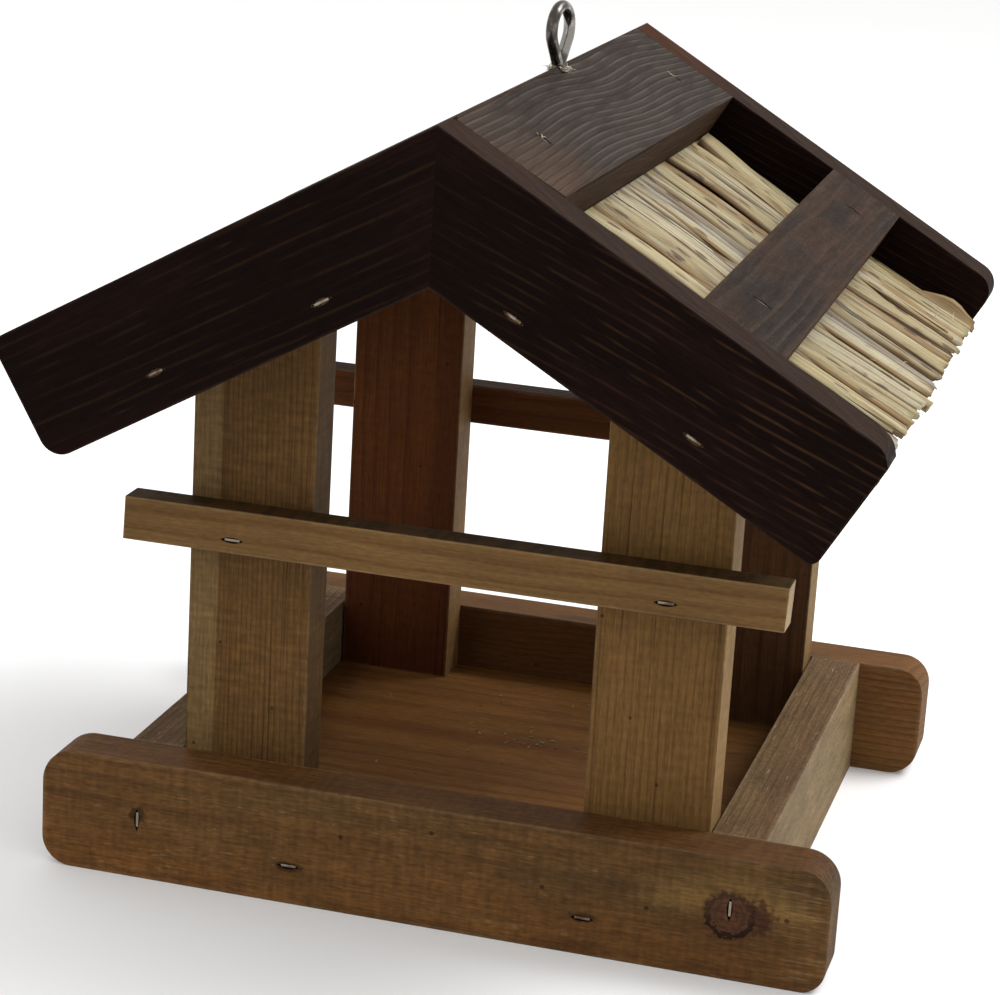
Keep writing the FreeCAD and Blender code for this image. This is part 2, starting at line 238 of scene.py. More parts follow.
class Wood(Graph):
    """A board's material. Each method lays one feature of the wood over those before it.

    u runs along the grain, v across the board's width and w through its thickness, in
    millimetres from the board's middle.
    """

    def __init__(self, name, grain, across, colour):
        super().__init__("wood_" + name)
        self.board = name
        self.grain = grain
        self.axes = (grain, across, grain.cross(across))
        self.middle, self.half = extent(name, self.axes)
        self.u, self.v, self.w = self.along(self.middle, self.axes)
        apart = 700.0 * sorted(nodes).index(name)
        self.place = self.vector(self.add(self.u, apart), self.v, self.w)
        self.colour = colour
        self.heights = []
        # starts from the painted shade that dims every board evenly against the bright studio light
        self.shade = PAINTED_DIMMING

    def streaks(self, along, across, detail=2.0, rough=0.5):
        return self.noise(self.stretch(self.place, along, across, across), detail, rough)

    def tint(self, mask, colour, share=1.0):
        self.colour = self.mix(self.mul(mask, share), self.colour, colour)

    def darken(self, mask, factor):
        """Multiplies the colour by factor where mask is 1."""
        self.shade = self.mul(self.shade, self.add(self.mul(mask, factor - 1.0), 1.0))

    def vary(self, value, strength):
        """Brightens and darkens by strength as value goes either side of a half."""
        spread = self.add(self.mul(self.math("SUBTRACT", value, 0.5), 2.0 * strength), 1.0)
        self.shade = self.mul(self.shade, spread)

    def raise_by(self, value, share):
        self.heights.append(self.mul(value, share))

    def rings(self, width, pith, swirl=4.0, bend=None, profile=((0, 0), (0.5, 0.1), (0.88, 1), (1, 0))):
        """Growth rings round a pith line beside or under the board; 1 in the late wood."""
        wander = self.noise(self.stretch(self.place, 0.009, 0.02, 0.02), 1.0)
        v = self.add(self.v, self.mul(self.math("SUBTRACT", wander, 0.5), 2.0 * swirl))
        if bend is not None:
            v = self.add(v, bend)
        to_pith = self.vector(0.0, self.math("SUBTRACT", v, pith[0]),
                              self.math("SUBTRACT", self.w, pith[1]))
        radius = self.node("VectorMath", out=1, operation="LENGTH", inputs={0: to_pith})
        return self.ramp(self.math("FRACT", self.mul(radius, 1.0 / width)), profile)

    def edge(self, reach):
        """1 on the board's edges and corners, 0 further than reach from them."""
        gaps = [
            self.math("SUBTRACT", half, self.math("ABSOLUTE", part))
            for half, part in zip(self.half, (self.u, self.v, self.w))
        ]
        nearer = self.math("MINIMUM", gaps[0], gaps[1])
        further = self.math("MAXIMUM", gaps[0], gaps[1])
        second = self.math("MAXIMUM", nearer, self.math("MINIMUM", further, gaps[2]))
        ragged = self.add(second, self.mul(self.streaks(0.15, 0.5), -1.2 * reach))
        return self.step(ragged, 0.5 * reach, -0.5 * reach)

    def end(self):
        """1 on the sawn ends."""
        return self.step(self.facing(self.grain), 0.6, 0.9)

    def slots(self):
        """1 inside the slits that the staples have torn in the broad faces."""
        depth = self.math("SUBTRACT", self.half[2], self.math("ABSOLUTE", self.w))
        beside = self.math("SUBTRACT", self.half[1] - 1.5, self.math("ABSOLUTE", self.v))
        within = self.math("SUBTRACT", self.half[0] - 16.0, self.math("ABSOLUTE", self.u))
        inside = self.mul(self.step(depth, 0.1, 0.4), self.step(depth, 1.9, 1.6))
        inside = self.mul(inside, self.math("GREATER_THAN", beside, 0.0))
        return self.mul(inside, self.math("GREATER_THAN", within, 0.0))

    def round_spot(self, u, v, reach_u, reach_v, ragged=0.0):
        """Distance from a place on the face, 1 at the rim of its ellipse."""
        x = self.mul(self.math("SUBTRACT", self.u, u), 1.0 / reach_u)
        y = self.mul(self.math("SUBTRACT", self.v, v), 1.0 / reach_v)
        distance = self.node("VectorMath", out=1, operation="LENGTH",
                             inputs={0: self.vector(x, y, 0.0)})
        if ragged:
            rough = self.noise(self.stretch(self.place, 0.5, 0.5, 0.5), 3.0)
            distance = self.add(distance, self.mul(self.math("SUBTRACT", rough, 0.5), ragged))
        return distance

    def finish(self, roughness=0.7, depth=0.25, specular=0.1):
        height = self.heights[0]
        for more in self.heights[1:]:
            height = self.add(height, more)
        gloss = self.add(self.mul(self.streaks(0.05, 0.6), 0.3), roughness - 0.15)
        colour = self.scale(self.colour, self.shade)
        put_on(self.board, self.surface(colour, gloss, height, depth, specular=specular))


# ---- Tray, posts and bars -----------------------------------------------------------------


def pale_pine(name, grain, across, early, late, ring=3.2, pith=(5.0, -40.0), stain=None, stained=0.5,
              swirl=4.0, fibre=0.5):
    """Planed softwood under a thin brown glaze: the start of every board of the tray."""
    wood = Wood(name, grain, across, early)
    late_wood = wood.rings(ring, pith, swirl)
    wood.tint(late_wood, late, 0.75)
    if stain:
        wood.tint(wood.step(wood.streaks(0.012, 0.07), 0.42, 0.62), stain, stained)
    fibres = wood.streaks(0.045, 1.5, detail=4.0, rough=0.7)
    wood.vary(fibres, 1.2 * fibre)
    wood.vary(wood.streaks(0.3, 0.9, detail=2.0), 0.32)
    wood.vary(wood.streaks(0.02, 0.03, detail=1.0), 0.25)
    wood.darken(wood.spots(wood.stretch(wood.place, 0.022, 0.022, 0.022), 0.018, "2D"), 0.4)
    # painted shade inside the staple slits
    wood.darken(wood.slots(), 0.42)
    wood.raise_by(late_wood, 0.5)
    wood.raise_by(fibres, 1.0)
    return wood


def floor_board():
    wood = pale_pine("floor_board", X, Y, (0.275, 0.122, 0.030), (0.185, 0.068, 0.018),
                     ring=5.0, pith=(20.0, -55.0), stain=(0.155, 0.066, 0.021), swirl=8.0)
    scuffs = wood.step(wood.streaks(0.05, 0.9, detail=3.0), 0.60, 0.72)
    wood.tint(scuffs, (0.34, 0.20, 0.09), 0.45)
    # painted shadow: the board darkens towards its right end, in the shade of the right post and side rail
    wood.darken(wood.step(wood.u, 40.0, 85.0), 0.6)
    wood.finish(0.72)


def front_rail():
    name = "front_rail"
    wood = Wood(name, X, Z, (0.138, 0.061, 0.0160))
    u_knot, v_knot = wood.half[0] - 34.3, 1.8
    toward = wood.round_spot(u_knot, v_knot, 20.0, 11.0)
    swell = wood.step(toward, 2.2, 0.6)
    side = wood.math("SIGN", wood.math("SUBTRACT", wood.v, v_knot))
    late_wood = wood.rings(2.7, (-8.0, -42.0), 3.0, bend=wood.mul(wood.mul(swell, side), -4.5))
    wood.tint(late_wood, (0.084, 0.033, 0.009), 0.7)
    grey = wood.add(wood.step(wood.streaks(0.01, 0.05), 0.38, 0.62),
                    wood.step(wood.v, -16.0, 14.0))
    wood.tint(wood.mul(grey, 0.5), (0.090, 0.052, 0.018), 0.7)
    orange = wood.mul(wood.step(wood.v, 4.0, -20.0), wood.step(wood.streaks(0.02, 0.3), 0.4, 0.65))
    wood.tint(orange, (0.17, 0.072, 0.019), 0.55)
    flecks = wood.mul(wood.step(wood.streaks(0.22, 0.75), 0.60, 0.72),
                      wood.step(wood.streaks(0.012, 0.22, detail=1.0), 0.50, 0.62))
    wood.tint(flecks, (0.25, 0.155, 0.070), 0.45)
    right_end = wood.step(wood.u, wood.half[0] - 32.0, wood.half[0] - 12.0)
    yellow = wood.mul(wood.step(toward, 2.0, 0.8), wood.step(wood.v, -4.0, 6.0))
    wood.tint(wood.mul(right_end, 0.3), (0.150, 0.082, 0.022), 0.4)
    wood.tint(yellow, (0.27, 0.155, 0.046), 0.55)
    wood.darken(wood.step(wood.u, -20.0, 110.0), 0.7)
    scratches = wood.mul(wood.step(wood.streaks(0.06, 1.6, detail=3.0), 0.58, 0.68), right_end)
    wood.tint(scratches, (0.34, 0.24, 0.13), 0.4)
    fibres = wood.streaks(0.045, 1.4, detail=4.0, rough=0.7)
    wood.vary(fibres, 0.65)
    wood.vary(wood.streaks(0.3, 0.9), 0.5)
    wood.vary(wood.streaks(0.5, 0.08, detail=1.0), 0.3)
    wood.vary(wood.streaks(0.03, 0.09, detail=2.0), 0.4)
    wood.darken(wood.spots(wood.stretch(wood.place, 0.022, 0.022, 0.022), 0.024, "2D"), 0.35)
    wood.tint(wood.step(wood.facing(Z), 0.6, 0.9), (0.150, 0.060, 0.0165), 0.6)
    wood.tint(wood.edge(1.6), (0.20, 0.120, 0.060), 0.35)
    knot(wood, u_knot, v_knot)
    staples = ((wood.half[0] - 251.3, v_knot, 3.6, 3.6), (-49.5, -8.4, 5.6, 2.0), (58.3, -8.4, 5.6, 2.0))
    for staple in staples:
        torn = wood.step(wood.round_spot(*staple, ragged=1.2), 1.05, 0.7)
        wood.darken(torn, 0.42)
    # painted shade inside the staple slits
    wood.darken(wood.slots(), 0.4)
    wood.raise_by(late_wood, 0.5)
    wood.raise_by(fibres, 1.0)
    wood.finish(0.66, 0.3)


def knot(wood, u, v):
    """A red-brown knot with a dark crack under it and bark stain to its right."""
    patch = wood.round_spot(u + 8.5, v + 0.5, 8.0, 7.5, 1.5)
    wood.tint(wood.step(patch, 1.1, 0.55), (0.058, 0.017, 0.008), 0.85)
    shape = wood.round_spot(u, v - 0.5, 8.6, 8.0, 0.6)
    wood.tint(wood.step(shape, 1.25, 0.95), (0.075, 0.028, 0.012), 0.8)
    wood.tint(wood.step(shape, 1.0, 0.8), (0.105, 0.042, 0.019), 0.9)
    rings = wood.math("SINE", wood.mul(shape, 24.0))
    wood.darken(wood.mul(wood.step(rings, 0.0, 0.9), wood.step(shape, 0.9, 0.7)), 0.7)
    rim = wood.mul(wood.step(shape, 0.78, 0.88), wood.step(shape, 1.06, 0.96))
    lower = wood.step(wood.v, v + 1.5, v - 4.0)
    wood.darken(wood.mul(rim, lower), 0.3)
    wood.darken(wood.mul(rim, wood.math("SUBTRACT", 1.0, lower)), 0.6)
    wood.raise_by(wood.mul(rim, lower), -2.5)


def back_rail():
    wood = pale_pine("back_rail", X, Z, (0.185, 0.080, 0.0225), (0.080, 0.031, 0.0090),
                     ring=2.6, pith=(-70.0, 10.0), stain=(0.140, 0.070, 0.023))
    # painted shade: the inner face between the side rails, in the shade inside the tray, is tinted darker
    # and dimmed
    shaded_inner_face = wood.mul(wood.step(wood.w, wood.half[2] - 1.0, wood.half[2] - 0.3),
                     wood.step(wood.math("ABSOLUTE", wood.u), 110.0, 104.0))
    wood.tint(shaded_inner_face, (0.125, 0.048, 0.0135), 0.7)
    wood.darken(shaded_inner_face, 0.75)
    wood.tint(wood.step(wood.w, 1.0 - wood.half[2], 0.3 - wood.half[2]), (0.105, 0.052, 0.0170), 0.6)
    wood.tint(wood.edge(1.6), (0.26, 0.17, 0.09), 0.45)
    wood.finish(0.68)


def side_rails():
    for name, pith in (("left_side_rail", (2.0, 38.0)), ("right_side_rail", (-4.0, -45.0))):
        wood = pale_pine(name, Y, Z, (0.165, 0.102, 0.046), (0.124, 0.066, 0.028),
                         ring=2.6, pith=pith, stain=(0.135, 0.072, 0.038))
        # painted light: the outer faces are tinted paler, as the key light from the right brightens them
        lit_outer = wood.step(wood.facing(X), 0.5, 0.8)
        wood.tint(lit_outer, (0.225, 0.160, 0.083), 0.75)
        wood.vary(wood.streaks(0.5, 0.9, detail=4.0, rough=0.7), 0.6)
        wood.vary(wood.streaks(0.05, 0.12, detail=2.0), 0.35)
        scratches = wood.step(wood.streaks(0.12, 1.1, detail=3.0, rough=0.6), 0.64, 0.72)
        wood.tint(scratches, (0.48, 0.37, 0.24), 0.5)
        wood.darken(wood.spots(wood.stretch(wood.place, 0.2, 0.2, 0.2), 0.12), 0.6)
        wood.tint(wood.edge(1.4), (0.28, 0.20, 0.13), 0.4)
        wood.finish(0.74)


def posts():
    looks = {
        "front_left_post": ((0.118, 0.059, 0.0175), (0.075, 0.034, 0.0095), 1.7, (30.0, -22.0)),
        "front_right_post": ((0.146, 0.076, 0.0220), (0.112, 0.054, 0.0150), 2.7, (-80.0, -20.0)),
        "back_left_post": ((0.113, 0.034, 0.0056), (0.077, 0.020, 0.0036), 2.6, (18.0, 48.0)),
        "back_right_post": ((0.074, 0.031, 0.0105), (0.048, 0.019, 0.006), 2.8, (-20.0, 50.0)),
    }
    for name, (early, late, ring, pith) in looks.items():
        wood = pale_pine(name, Z, X, early, late, ring, pith, swirl=2.5)
        if name == "front_left_post":
            band = wood.step(wood.v, -wood.half[1] + 11.5, -wood.half[1] + 9.5)
            wood.tint(band, (0.20, 0.128, 0.052), 0.65)
            wood.vary(wood.streaks(0.5, 0.12, detail=1.0), 0.3)
        if name == "back_left_post":
            low = wood.step(wood.u, 30.0, -90.0)
            wood.tint(low, (0.068, 0.016, 0.0052), 0.75)
        chatter = wood.streaks(0.45, 0.1, detail=1.0)
        wood.vary(chatter, 0.2)
        dark_lines = wood.step(wood.streaks(0.008, 0.7, detail=1.0), 0.62, 0.72)
        wood.darken(dark_lines, 0.62)
        # painted light: the faces along X are tinted much paler where the key light falls, and only a
        # little paler on the front left post, which stands in shade
        side = wood.step(wood.facing(X), 0.5, 0.8)
        wood.tint(side, (0.13, 0.075, 0.03) if name == "front_left_post" else (0.33, 0.205, 0.080), 0.6)
        wood.tint(wood.edge(1.0), (0.22, 0.15, 0.08), 0.3)
        wood.finish(0.7)


def cross_bars():
    looks = {
        "front_cross_bar": ((0.158, 0.086, 0.029), (0.108, 0.052, 0.0165), (14.0, -26.0)),
        "back_cross_bar": ((0.098, 0.031, 0.0070), (0.066, 0.019, 0.0045), (-10.0, 30.0)),
    }
    for name, (early, late, pith) in looks.items():
        wood = pale_pine(name, X, Z, early, late, 2.6, pith, swirl=5.0, fibre=0.4)
        # painted shade: the tops, in the shade under the roof, are darkened
        top = wood.step(wood.facing(Z), 0.5, 0.8)
        wood.darken(top, 0.62)
        saw_marks = wood.mul(wood.step(wood.streaks(0.28, 0.08, detail=1.0), 0.52, 0.62), top)
        wood.darken(saw_marks, 0.7)
        wood.tint(wood.end(), (0.36, 0.265, 0.150), 0.9)
        wood.tint(wood.edge(1.1), (0.26, 0.175, 0.085), 0.4)
        wood.finish(0.68)


# ---- Roof boards --------------------------------------------------------------------------

PITCH = math.radians(30)
DOWN = {side: Vector((side * math.cos(PITCH), 0, -math.sin(PITCH))) for side in (-1, 1)}
OUT = {side: Vector((side * math.sin(PITCH), 0, math.cos(PITCH))) for side in (-1, 1)}
SIDES = {"left": -1, "right": 1}


STREAK_SHARE = {"front_right": 0.7, "front_left": 0.22, "back_right": 0.3, "back_left": 0.3}


def barge_boards():
    for end in ("front", "back"):
        for hand, side in SIDES.items():
            wood = Wood(f"{end}_{hand}_barge_board", DOWN[side], OUT[side], (0.0060, 0.0024, 0.0016))
            tilt = wood.mul(wood.u, -0.125 if hand == "right" else -0.02)
            streak = wood.rings(3.4 if hand == "right" else 4.2, (130.0, 20.0), 3.0, bend=tilt,
                                profile=((0, 0), (0.3, 0), (0.48, 1), (0.56, 0.8), (0.72, 0)))
            patches = wood.step(wood.streaks(0.03, 0.33), 0.40, 0.62)
            if hand == "right":
                patches = wood.mul(patches, wood.step(wood.u, -85.0, 45.0, 0.12, 1.0))
            share = STREAK_SHARE[f"{end}_{hand}"]
            wood.tint(wood.mul(streak, patches), (0.056, 0.025, 0.0105), share)
            red = wood.step(wood.streaks(0.01, 0.05, detail=1.0), 0.45, 0.6)
            wood.tint(red, (0.0115, 0.0042, 0.0036), 0.5)
            fibres = wood.streaks(0.02, 1.0, detail=3.0, rough=0.6)
            wood.vary(fibres, 0.5)
            scuffs = wood.step(wood.streaks(0.05, 1.4, detail=2.0), 0.72, 0.78)
            wood.tint(scuffs, (0.040, 0.029, 0.024), 0.3)
            # the top edges face the key light: their paler colour is partly weathering and partly painted
            # light, warmer on the back boards
            top = wood.step(wood.facing(OUT[side]), 0.75, 0.95)
            warm = wood.mul(wood.step(wood.u, -30.0, -80.0), 1.0 if end == "back" else 0.1)
            lit_and_weathered_top = wood.mix(warm, (0.028, 0.0134, 0.0085), (0.056, 0.018, 0.0065))
            wood.tint(top, lit_and_weathered_top, 0.9)
            wood.vary(wood.streaks(0.16, 0.35, detail=4.0, rough=0.7), 0.5)
            wood.tint(wood.edge(0.9), (0.040, 0.025, 0.018), 0.4)
            wood.tint(wood.slots(), (0.32, 0.20, 0.10), 0.8)
            wood.raise_by(streak, 0.7)
            wood.raise_by(fibres, 0.8)
            wood.finish(0.62, 0.3, 0.03)


def slats():
    for hand, side in SIDES.items():
        wood = Wood(f"{hand}_ridge_slat", Y, DOWN[side], (0.0175, 0.0096, 0.0064))
        wave = wood.mul(wood.math("SINE", wood.mul(wood.add(wood.u, 62.0), 2 * math.pi / 115)), 1.1)
        front = wood.math("MAXIMUM", wood.math("SUBTRACT", -50.0, wood.u), 0.0)
        wave = wood.mul(wave, wood.step(wood.v, 20.0, -14.0, 0.45, 1.15))
        bend = wood.add(wave, wood.mul(wood.u, -0.05))
        bend = wood.add(bend, wood.mul(wood.mul(front, front), -0.0008))
        lines = wood.rings(2.7, (-60.0, -40.0), 1.6, bend=bend,
                           profile=((0, 0.12), (0.38, 0), (0.5, 1), (0.57, 0.35), (0.78, 0.1)))
        patchy = wood.step(wood.streaks(0.03, 0.25, detail=2.0), 0.34, 0.54, 0.35, 1.0)
        wood.tint(wood.mul(lines, patchy), (0.200, 0.157, 0.130), 0.95)
        brown = wood.mul(wood.step(wood.u, -55.0, -115.0), wood.step(wood.v, -16.0, 14.0, 0.25, 1.0))
        wood.tint(brown, (0.070, 0.036, 0.018), 0.7)
        if hand == "left":
            wood.tint(wood.edge(1.6), (0.13, 0.115, 0.105), 0.6)
        weathered(wood, side)
        wood.raise_by(wood.mul(lines, wood.step(wood.facing(OUT[side]), 0.75, 0.95)), 1.2)
        wood.finish(0.72, 0.7, 0.1)

        wood = Wood(f"{hand}_mid_slat", Y, DOWN[side], (0.0150, 0.0070, 0.0036))
        lines = wood.rings(3.3, (-4.0, -20.0), 5.0)
        wood.tint(lines, (0.055, 0.032, 0.020), 0.6)
        wood.tint(wood.step(wood.streaks(0.02, 0.06), 0.42, 0.6), (0.038, 0.0165, 0.0068), 0.55)
        mottle = wood.streaks(0.13, 0.22, detail=5.0, rough=0.75)
        wood.vary(mottle, 1.1)
        wood.tint(wood.edge(1.2), (0.085, 0.052, 0.030), 0.4)
        weathered(wood, side)
        wood.raise_by(mottle, 0.8)
        wood.finish(0.74, 0.4, 0.1)


def weathered(wood, side):
    """The sides of the slats keep more of their stain than the tops, which the rain has greyed."""
    top = wood.step(wood.facing(OUT[side]), 0.75, 0.95)
    sides = wood.math("SUBTRACT", 1.0, top)
    wood.tint(sides, (0.056, 0.026, 0.0120), 0.85)
    fibres = wood.streaks(0.035, 1.2, detail=3.0, rough=0.65)
    wood.vary(fibres, 0.5)
    grit = wood.step(wood.streaks(1.1, 1.1, detail=2.0), 0.62, 0.72)
    wood.tint(grit, (0.12, 0.092, 0.074), 0.4)
    wood.vary(wood.streaks(0.02, 0.04, detail=1.0), 0.3)
    # painted shade inside the staple slits
    wood.darken(wood.slots(), 0.3)
    wood.raise_by(fibres, 1.0)


def decks():
    for hand, side in SIDES.items():
        wood = Wood(f"{hand}_roof_deck", Y, DOWN[side], (0.075, 0.030, 0.013))
        late_wood = wood.rings(4.4, (10.0, -50.0), 5.0)
        wood.tint(late_wood, (0.042, 0.016, 0.008), 0.7)
        fibres = wood.streaks(0.03, 1.0, detail=3.0, rough=0.6)
        wood.vary(fibres, 0.35)
        wood.vary(wood.streaks(0.02, 0.04, detail=1.0), 0.3)
        wood.raise_by(late_wood, 0.5)
        wood.raise_by(fibres, 1.0)
        wood.finish(0.72)


# ---- Metal --------------------------------------------------------------------------------


def metal(name, colour, stain, roughness, specks, middle=None):
    """Plated wire, stained in patches. From middle, where it is given, the stain colour grows towards the
    front as painted shade.
    """
    graph = Graph(name)
    place = graph.node("TexCoord", out=3)
    fine = graph.noise(graph.stretch(place, 2500.0, 2500.0, 2500.0), 3.0)
    broad = graph.noise(graph.stretch(place, 200.0, 200.0, 200.0), 3.0)
    if middle is not None:
        # painted shade: more of the dark stain colour towards the front, which faces away from the key
        # light
        toward_back = graph.along(middle, (Y,))[0]
        broad = graph.add(broad, graph.step(toward_back, 6.0, -6.0, -0.06, 0.13))
    stained = graph.step(broad, 0.42, 0.66)
    shade = graph.mix(graph.mul(stained, specks), colour, stain)
    gloss = graph.add(graph.mul(fine, 0.22), graph.mul(stained, 0.15))
    gloss = graph.add(gloss, roughness - 0.1)
    return graph.surface(shade, gloss, graph.add(fine, broad), 0.03, metallic=1.0)


def ironwork():
    eye_low, eye_high = map(Vector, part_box("screw_eye"))
    middle = (eye_low + eye_high) / 2
    zinc = metal("zinc_plate", (0.27, 0.26, 0.245), (0.045, 0.036, 0.030), 0.15, 0.9, middle)
    put_on("screw_eye", zinc)
    staple = metal("staple_steel", (0.27, 0.23, 0.185), (0.11, 0.065, 0.035), 0.45, 0.9)
    for name in nodes:
        if name.endswith("staples"):
            put_on(name, staple)


# ---- Reeds --------------------------------------------------------------------------------

# Depths below the barge boards' top edges, in millimetres.
SLAT_UNDER = 18.6
SHADED = 23.0  # where the reeds are darkest
DECK_TOP = 28.0

# Distances down the slope from the ridge, in millimetres.
RIDGE_SLAT_EDGE = 46.0
MID_SLAT = (98.3, 130.7)
EAVE = 178.0

REED_SHADE = 0.87  # painted shade: dims every reed evenly to offset the bright studio light
REED_COLOURS = {
    "straw": (0.37, 0.30, 0.155),
    "cream": (0.45, 0.39, 0.25),
    "lilac": (0.40, 0.365, 0.30),
    "grey": (0.25, 0.20, 0.135),
    "tan": (0.29, 0.19, 0.08),
    "torn": (0.76, 0.69, 0.56),
}


class Roof:
    """Places on one slope, in millimetres: down from the ridge, along Y, and deep below the barge tops."""

    def __init__(self, side):
        self.side = side
        self.apex = Vector((0, 0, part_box("front_right_barge_board")[1][2]))

    def point(self, down, y, deep):
        return self.apex + (DOWN[self.side] * down + Y * y - OUT[self.side] * deep) * MM


def smooth(value, low, high):
    share = min(1.0, max(0.0, (value - low) / (high - low)))
    return share * share * (3.0 - 2.0 * share)


def freedom(down):
    """0 under the slats, which hold the reeds down, rising between them and towards the eave."""
    if down < MID_SLAT[0]:
        share = (down - RIDGE_SLAT_EDGE) / (MID_SLAT[0] - RIDGE_SLAT_EDGE)
        return 0.32 * math.sin(math.pi * max(0.0, share))
    return max(0.0, down - MID_SLAT[1] + 2.0) / (EAVE - MID_SLAT[1])


def wobble(*place):
    """Smooth noise from -1 to 1."""
    return noise.noise(Vector(place + (0.0,) * (3 - len(place))))


class Straw:
    """One flattened reed: its middle at the ridge slat and at the eave, its width and its height.

    roll tips it to one side, lift raises its free head out of the window's top, curl rolls up
    one edge of its tail, and pinch narrows the tail.
    """

    def __init__(self, head, tail, width, top=16.0, tone="straw", thick=1.6, start=9.0, end=EAVE,
                 roll=0.0, lift=0.0, curl=0.0, pinch=0.0):
        self.head, self.tail, self.width, self.top = head, tail, width, top
        self.thick, self.tone, self.start, self.end = thick, tone, start, end
        self.roll, self.lift, self.curl, self.pinch = roll, lift, curl, pinch

    def build(self, bm, roof, seed):
        straw, tone = bm.verts.layers.float_vector["straw"], bm.verts.layers.float_vector["tone"]
        across = max(6, round(self.width / 0.8))
        steps = max(3, round((self.end - self.start) / 4.0))
        colour = Vector(REED_COLOURS[self.tone]) * (1.0 + 0.25 * wobble(seed * 3.7, 5.0))
        rings = []
        for i in range(steps + 1):
            share = i / steps
            ring = []
            for part in range(2 * across):
                upper = part < across
                j = part if upper else 2 * across - 1 - part
                s = 2.0 * j / (across - 1) - 1.0
                ragged = 2.4 * wobble(s * 1.5, seed * 1.7) + 1.1 * wobble(s * 7.0, seed * 2.3, 4.0)
                down = self.start + (self.end + ragged - self.start) * share
                y, deep = self.place(seed, down, s, upper)
                vertex = bm.verts.new(roof.point(down, y, deep))
                vertex[straw] = (down + 400.0 * seed, s * self.width / 2, s)
                # painted shade: reeds lying deeper, under and between the others, are darkened
                vertex[tone] = colour * (1.0 - 0.8 * smooth(deep, SLAT_UNDER, SHADED))
                ring.append(vertex)
            rings.append(ring)
        for a, b in zip(rings, rings[1:]):
            for j in range(2 * across):
                k = (j + 1) % (2 * across)
                bm.faces.new((a[j], a[k], b[k], b[j]))
        for ring, order in ((rings[0], -1), (rings[-1], 1)):
            for j in range(across - 1):
                quad = (ring[j], ring[j + 1], ring[-2 - j], ring[-1 - j])
                bm.faces.new(quad[::order])

    def place(self, seed, down, s, upper):
        """Y and depth of the surface at one point round the straw."""
        free = freedom(down)
        tail = smooth(down, EAVE - 40.0, EAVE)
        swell = 1.0 + 0.07 * wobble(down * 0.03, seed * 5.1) - self.pinch * tail
        share = (down - RIDGE_SLAT_EDGE) / (EAVE - RIDGE_SLAT_EDGE)
        middle = self.head + (self.tail - self.head) * share + 0.7 * wobble(down * 0.02, seed * 2.9)
        edge = 0.35 * s * wobble(down * 0.16, seed * 9.1 + s)
        y = middle + s * self.width / 2 * swell + edge
        crown = 0.3 * s * s + min(1.9, 0.22 * self.width) * s ** 10
        ridges = 0.35 * wobble(s * self.width * 0.7, seed * 4.3, down * 0.004)
        ridges += 0.6 * wobble(s * self.width * 0.22, seed * 6.1, down * 0.010)
        waves = 0.5 * wobble(down * 0.03, seed * 8.3)
        rise = (self.top + waves - SLAT_UNDER + 0.3) * free
        if self.lift and down > RIDGE_SLAT_EDGE:
            rise -= self.lift * (1.0 - smooth(down, RIDGE_SLAT_EDGE - 10.0, RIDGE_SLAT_EDGE + 44.0))
        rolled = self.roll * s * max(free, 0.6 * smooth(down, RIDGE_SLAT_EDGE, RIDGE_SLAT_EDGE + 15.0))
        arch = smooth(down, self.end - 30.0, self.end - 12.0)
        arch *= 1.0 - 0.6 * smooth(down, self.end - 12.0, self.end)
        rolled -= self.curl * smooth(s, -0.6, 1.0) * arch
        deep = SLAT_UNDER + 0.4 + rise + crown + ridges * max(free, 0.5) + rolled
        if not upper:
            deep += self.thick * (1.0 - 0.8 * s ** 4)
        deep = min(deep, DECK_TOP - 0.1 - (0.2 if upper else 0.0))
        return y, deep


RIGHT_STRAWS = (
    Straw(-120, -120, 14, 16.8),
    Straw(-105, -106, 14.5, 16.4, "cream"),
    Straw(-90, -89.5, 14, 16.6, "grey"),
    Straw(-77, -75, 10.5, 15.9, "lilac", pinch=0.1),
    Straw(-57, -54, 15.5, 16.2, roll=0.6, pinch=0.08),
    Straw(-46, -43, 3.6, 17.0, "tan", thick=3.0),
    Straw(-35.5, -35, 15, 15.9, roll=-0.6, pinch=0.12),
    Straw(-15.5, -17, 21, 15.7, "cream", roll=0.5, pinch=0.14),
    Straw(2, 6, 11.5, 16.4, "cream", roll=-0.5),
    Straw(11, 13.5, 4.5, 16.0, "lilac", roll=0.3),
    Straw(19, 19, 7, 17.6, "grey"),
    Straw(30.5, 28, 12, 15.9, roll=0.9, pinch=0.15),
    Straw(44.5, 46, 13, 16.3, roll=-0.5, pinch=0.1),
    Straw(54, 59, 8, 16.6, "tan", pinch=0.2),
    Straw(74.5, 72, 16.5, 15.7, roll=0.9, pinch=0.08),
    Straw(89, 93, 8.5, 16.6, "cream"),
    Straw(97, 100, 4.5, 17.2, "tan", thick=3.0),
    Straw(106, 105, 13, 16.2, roll=-0.8),
    Straw(113, 110, 15, 16.6, start=48.5, end=MID_SLAT[0] + 12.0, lift=4.0, roll=-0.8),
    Straw(119.5, 119.5, 15, 16.4, "straw"),
    Straw(116, 118, 5.5, 15.8, "tan", 1.0, start=MID_SLAT[0], end=EAVE + 1.0, curl=5.5),
    Straw(-9, -8, 6, 16.6, "straw", thick=4.0, start=128.0, end=EAVE + 2.5),
)
RIGHT_GAPS = ((-72.0, -62.0), (58.0, 74.0))


